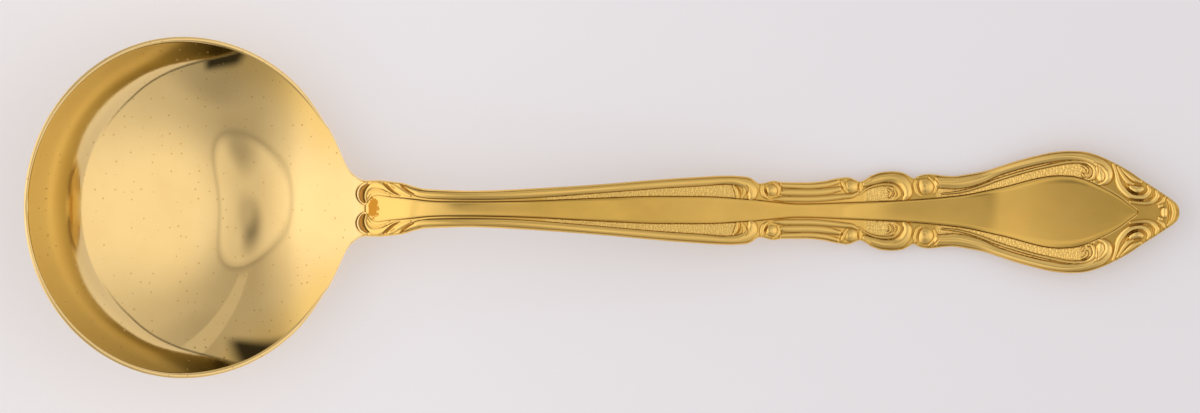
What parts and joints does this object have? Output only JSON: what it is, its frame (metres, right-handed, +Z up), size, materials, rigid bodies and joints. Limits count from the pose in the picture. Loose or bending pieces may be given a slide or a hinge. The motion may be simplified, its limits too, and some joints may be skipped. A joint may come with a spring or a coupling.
{
  "type": "gravy ladle",
  "caption": "Gravy ladle with a round, shallow bowl tilted on a long curved handle that is struck with scroll, reed and bead relief, for dipping and pouring sauce.",
  "frame": {"origin": "centre of the footprint on the table that the ladle lies on, at table height", "axes": "+X along the ladle from the bowl to the tip of the handle, +Y across it, +Z up out of the open bowl"},
  "size_m": [0.178, 0.0526, 0.0239],
  "materials": {
    "gold_plate": "polished",
    "braze_alloy": "satin"
  },
  "bodies": {
    "root": {"bowl": "gold_plate", "braze_seam": "braze_alloy", "handle": "gold_plate"}
  },
  "joints": []
}
